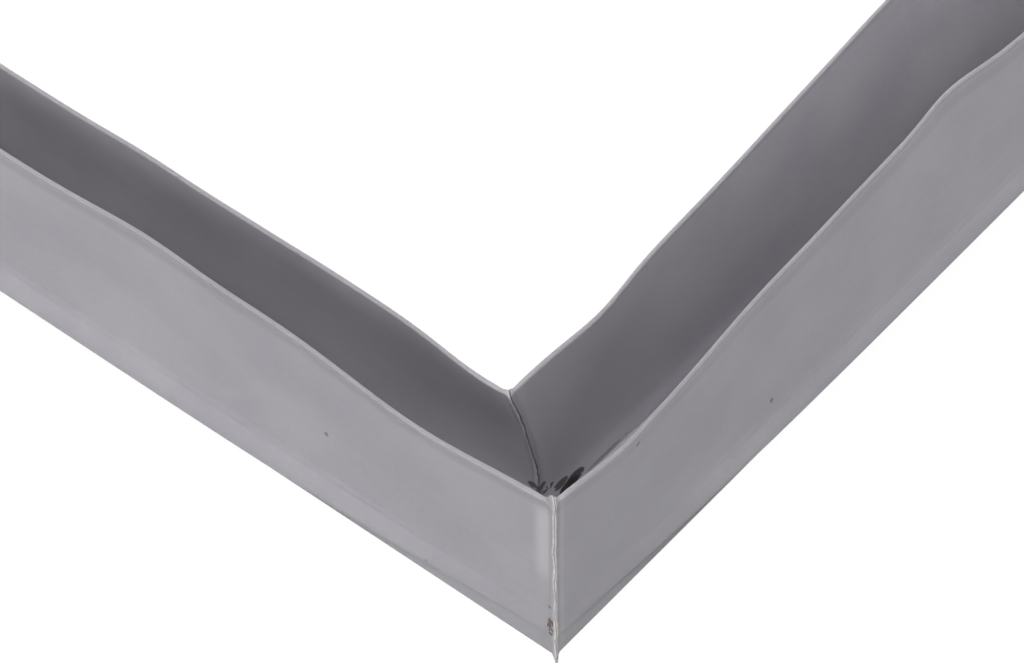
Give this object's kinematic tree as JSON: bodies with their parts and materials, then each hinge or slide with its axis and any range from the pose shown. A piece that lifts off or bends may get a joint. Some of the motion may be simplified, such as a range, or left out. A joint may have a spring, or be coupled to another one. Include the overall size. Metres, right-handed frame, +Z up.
{
  "type": "refrigerator door gasket",
  "caption": "Closed rectangular door seal: a soft welded frame with two tall lips over a pocket that holds a magnet strip along each side.",
  "frame": {"origin": "middle of the frame's outline, on the plane of the sealing face", "axes": "+Z up, from the sealing face to the rims of the lips; +Y along the long sides; +X along the short sides"},
  "size_m": [0.4042, 0.6548, 0.0281],
  "materials": {
    "soft_pvc": "satin, soft grey plasticised PVC",
    "magnet_ferrite": "matt, flexible ferrite strip"
  },
  "bodies": {
    "root": {"gasket_frame": "soft_pvc", "magnet_strip_front": "magnet_ferrite", "magnet_strip_right": "magnet_ferrite", "magnet_strip_back": "magnet_ferrite", "magnet_strip_left": "magnet_ferrite"}
  },
  "joints": []
}
